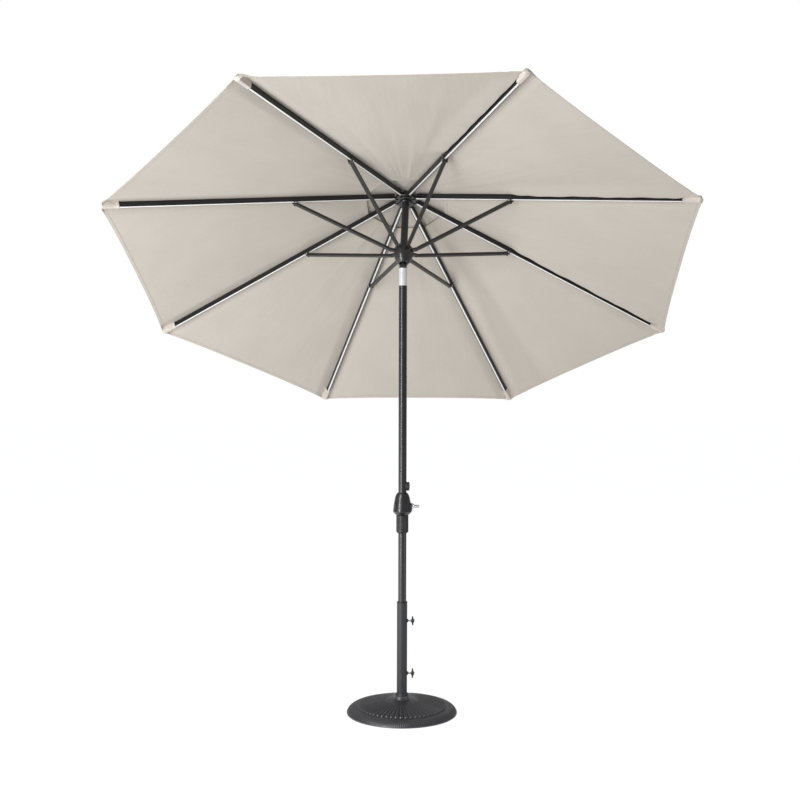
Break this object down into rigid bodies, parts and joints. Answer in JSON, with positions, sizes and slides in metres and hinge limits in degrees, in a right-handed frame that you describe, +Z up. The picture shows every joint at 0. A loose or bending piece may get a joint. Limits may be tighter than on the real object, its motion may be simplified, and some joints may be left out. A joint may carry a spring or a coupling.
{
  "type": "patio umbrella with base",
  "caption": "Crank-lift garden umbrella with a folding, tilting eight-sided canopy, lit ribs, wind vent and a round cast base with a clamped stem.",
  "frame": {"origin": "centre of the cast base's underside, on the floor", "axes": "+Z up along the pole; the canopy leans towards +Y, away from the viewer; +X to the viewer's right, the side of the crank shaft and the thumbscrews"},
  "size_m": [2.5316, 2.246, 2.6201],
  "materials": {
    "cast_black": "satin black powder coat",
    "stem_paint": "satin",
    "plastic_black": "satin",
    "steel": "plated",
    "pole_paint": "dark satin powder coat on aluminium tube",
    "housing_black": "semi-gloss moulded",
    "frame_black": "black coated die casting",
    "chrome": "polished",
    "button_grey": "satin",
    "rib_black": "black coated aluminium tube",
    "led_white": "white diffuser",
    "strut_paint": "dark coated aluminium",
    "canvas": "plain weave canopy fabric, warm greige"
  },
  "bodies": {
    "base": {"base_casting": "cast_black", "stem_tube": "stem_paint", "stem_mouth": "plastic_black", "stem_ferrule": "stem_paint"},
    "thumbscrew_upper": {"screw_upper": "steel", "knob_upper": "plastic_black"},
    "thumbscrew_lower": {"screw_lower": "steel", "knob_lower": "plastic_black"},
    "pole": {"lower_pole": "pole_paint", "upper_pole": "pole_paint", "pole_plug": "plastic_black", "crank_housing_left": "housing_black", "crank_housing_right": "housing_black", "switch_housing": "plastic_black", "tilt_fork": "frame_black", "tilt_pin": "steel"},
    "crank": {"crank_shaft": "chrome", "cord_spool": "plastic_black"},
    "collar": {"tilt_collar": "plastic_black"},
    "button": {"switch_button": "button_grey"},
    "mast": {"mast_tube": "pole_paint", "tilt_knuckle": "frame_black", "runner": "housing_black", "top_hub": "housing_black", "hub_ring": "steel", "cord_pulley": "steel", "finial": "housing_black", "vent_cap": "canvas"},
    "rib_1": {"rib_1": "rib_black", "led_1": "led_white", "panel_1": "canvas"},
    "strut_1": {"strut_1": "strut_paint"},
    "rib_2": {"rib_2": "rib_black", "led_2": "led_white", "panel_2": "canvas"},
    "strut_2": {"strut_2": "strut_paint"},
    "rib_3": {"rib_3": "rib_black", "led_3": "led_white", "panel_3": "canvas"},
    "strut_3": {"strut_3": "strut_paint"},
    "rib_4": {"rib_4": "rib_black", "led_4": "led_white", "panel_4": "canvas"},
    "strut_4": {"strut_4": "strut_paint"},
    "rib_5": {"rib_5": "rib_black", "led_5": "led_white", "panel_5": "canvas"},
    "strut_5": {"strut_5": "strut_paint"},
    "rib_6": {"rib_6": "rib_black", "led_6": "led_white", "panel_6": "canvas"},
    "strut_6": {"strut_6": "strut_paint"},
    "rib_7": {"rib_7": "rib_black", "led_7": "led_white", "panel_7": "canvas"},
    "strut_7": {"strut_7": "strut_paint"},
    "rib_8": {"rib_8": "rib_black", "led_8": "led_white", "panel_8": "canvas"},
    "strut_8": {"strut_8": "strut_paint"}
  },
  "joints": [
    {"name": "canopy_tilt", "type": "hinge", "parent": "pole", "child": "mast", "pos_m": [0, 0, 2.057], "axis": [1, 0, 0], "range_deg": [0, 27.5]},
    {"name": "pole_lift", "type": "slide", "parent": "base", "child": "pole", "axis": [0, 0, 1], "range_m": [0, 0.4]},
    {"name": "thumbscrew_upper_turn", "type": "hinge", "parent": "base", "child": "thumbscrew_upper", "pos_m": [0.04, 0, 0.422], "axis": [1, 0, 0], "range_deg": [0, 1080]},
    {"name": "thumbscrew_lower_turn", "type": "hinge", "parent": "base", "child": "thumbscrew_lower", "pos_m": [0.04, 0, 0.18], "axis": [1, 0, 0], "range_deg": [0, 1080]},
    {"name": "crank_turn", "type": "hinge", "parent": "pole", "child": "crank", "pos_m": [0, 0, 0.95], "axis": [1, 0, 0], "range_deg": [-3384, 0]},
    {"name": "collar_twist", "type": "hinge", "parent": "pole", "child": "collar", "pos_m": [0, 0, 0.868], "axis": [0, 0, 1], "range_deg": [0, 1080]},
    {"name": "switch_press", "type": "slide", "parent": "pole", "child": "button", "axis": [-1, 0, 0], "range_m": [0, 0.002], "stiffness_N_per_m": 600, "springref_m": -0.001},
    {"name": "canopy_fold", "type": "hinge", "parent": "mast", "child": "rib_1", "pos_m": [0.04157, 0.19074, 2.38611], "axis": [-0.3827, 0.8195, -0.4266], "range_deg": [0, 65], "deforming": ["vent_cap", "panel_1", "panel_2", "panel_3", "panel_4", "panel_5", "panel_6", "panel_7", "panel_8"]},
    {"name": "strut_1_swing", "type": "hinge", "parent": "rib_1", "child": "strut_1", "pos_m": [0.48744, 0.27525, 2.14849], "axis": [-0.3827, 0.8195, -0.4266], "range_deg": [-137.2, 0]},
    {"name": "rib_2_fold", "type": "hinge", "parent": "mast", "child": "rib_2", "pos_m": [0.01722, 0.21234, 2.37487], "axis": [-0.9239, 0.3394, -0.1767], "range_deg": [0, 65]},
    {"name": "strut_2_swing", "type": "hinge", "parent": "rib_2", "child": "strut_2", "pos_m": [0.2019, 0.52852, 2.01665], "axis": [-0.9239, 0.3394, -0.1767], "range_deg": [-137.2, 0]},
    {"name": "rib_3_fold", "type": "hinge", "parent": "mast", "child": "rib_3", "pos_m": [-0.01722, 0.21234, 2.37487], "axis": [-0.9239, -0.3394, 0.1767], "range_deg": [0, 65]},
    {"name": "strut_3_swing", "type": "hinge", "parent": "rib_3", "child": "strut_3", "pos_m": [-0.2019, 0.52852, 2.01665], "axis": [-0.9239, -0.3394, 0.1767], "range_deg": [-137.2, 0]},
    {"name": "rib_4_fold", "type": "hinge", "parent": "mast", "child": "rib_4", "pos_m": [-0.04157, 0.19074, 2.38611], "axis": [-0.3827, -0.8195, 0.4266], "range_deg": [0, 65]},
    {"name": "strut_4_swing", "type": "hinge", "parent": "rib_4", "child": "strut_4", "pos_m": [-0.48744, 0.27525, 2.14849], "axis": [-0.3827, -0.8195, 0.4266], "range_deg": [-137.2, 0]},
    {"name": "rib_5_fold", "type": "hinge", "parent": "mast", "child": "rib_5", "pos_m": [-0.04157, 0.16019, 2.40202], "axis": [0.3827, -0.8195, 0.4266], "range_deg": [0, 65]},
    {"name": "strut_5_swing", "type": "hinge", "parent": "rib_5", "child": "strut_5", "pos_m": [-0.48744, -0.08293, 2.33495], "axis": [0.3827, -0.8195, 0.4266], "range_deg": [-137.2, 0]},
    {"name": "rib_6_fold", "type": "hinge", "parent": "mast", "child": "rib_6", "pos_m": [-0.01722, 0.13859, 2.41326], "axis": [0.9239, -0.3394, 0.1767], "range_deg": [0, 65]},
    {"name": "strut_6_swing", "type": "hinge", "parent": "rib_6", "child": "strut_6", "pos_m": [-0.2019, -0.3362, 2.46679], "axis": [0.9239, -0.3394, 0.1767], "range_deg": [-137.2, 0]},
    {"name": "rib_7_fold", "type": "hinge", "parent": "mast", "child": "rib_7", "pos_m": [0.01722, 0.13859, 2.41326], "axis": [0.9239, 0.3394, -0.1767], "range_deg": [0, 65]},
    {"name": "strut_7_swing", "type": "hinge", "parent": "rib_7", "child": "strut_7", "pos_m": [0.2019, -0.3362, 2.46679], "axis": [0.9239, 0.3394, -0.1767], "range_deg": [-137.2, 0]},
    {"name": "rib_8_fold", "type": "hinge", "parent": "mast", "child": "rib_8", "pos_m": [0.04157, 0.16019, 2.40202], "axis": [0.3827, 0.8195, -0.4266], "range_deg": [0, 65]},
    {"name": "strut_8_swing", "type": "hinge", "parent": "rib_8", "child": "strut_8", "pos_m": [0.48744, -0.08293, 2.33495], "axis": [0.3827, 0.8195, -0.4266], "range_deg": [-137.2, 0]}
  ],
  "couplings": [
    {"joint": "collar_twist", "follows": "canopy_tilt", "ratio": 39.273},
    {"joint": "strut_1_swing", "follows": "canopy_fold", "ratio": -2.1106},
    {"joint": "rib_2_fold", "follows": "canopy_fold", "ratio": 1},
    {"joint": "strut_2_swing", "follows": "canopy_fold", "ratio": -2.1106},
    {"joint": "rib_3_fold", "follows": "canopy_fold", "ratio": 1},
    {"joint": "strut_3_swing", "follows": "canopy_fold", "ratio": -2.1106},
    {"joint": "rib_4_fold", "follows": "canopy_fold", "ratio": 1},
    {"joint": "strut_4_swing", "follows": "canopy_fold", "ratio": -2.1106},
    {"joint": "rib_5_fold", "follows": "canopy_fold", "ratio": 1},
    {"joint": "strut_5_swing", "follows": "canopy_fold", "ratio": -2.1106},
    {"joint": "rib_6_fold", "follows": "canopy_fold", "ratio": 1},
    {"joint": "strut_6_swing", "follows": "canopy_fold", "ratio": -2.1106},
    {"joint": "rib_7_fold", "follows": "canopy_fold", "ratio": 1},
    {"joint": "strut_7_swing", "follows": "canopy_fold", "ratio": -2.1106},
    {"joint": "rib_8_fold", "follows": "canopy_fold", "ratio": 1},
    {"joint": "strut_8_swing", "follows": "canopy_fold", "ratio": -2.1106},
    {"joint": "crank_turn", "follows": "canopy_fold", "ratio": -52.062}
  ]
}
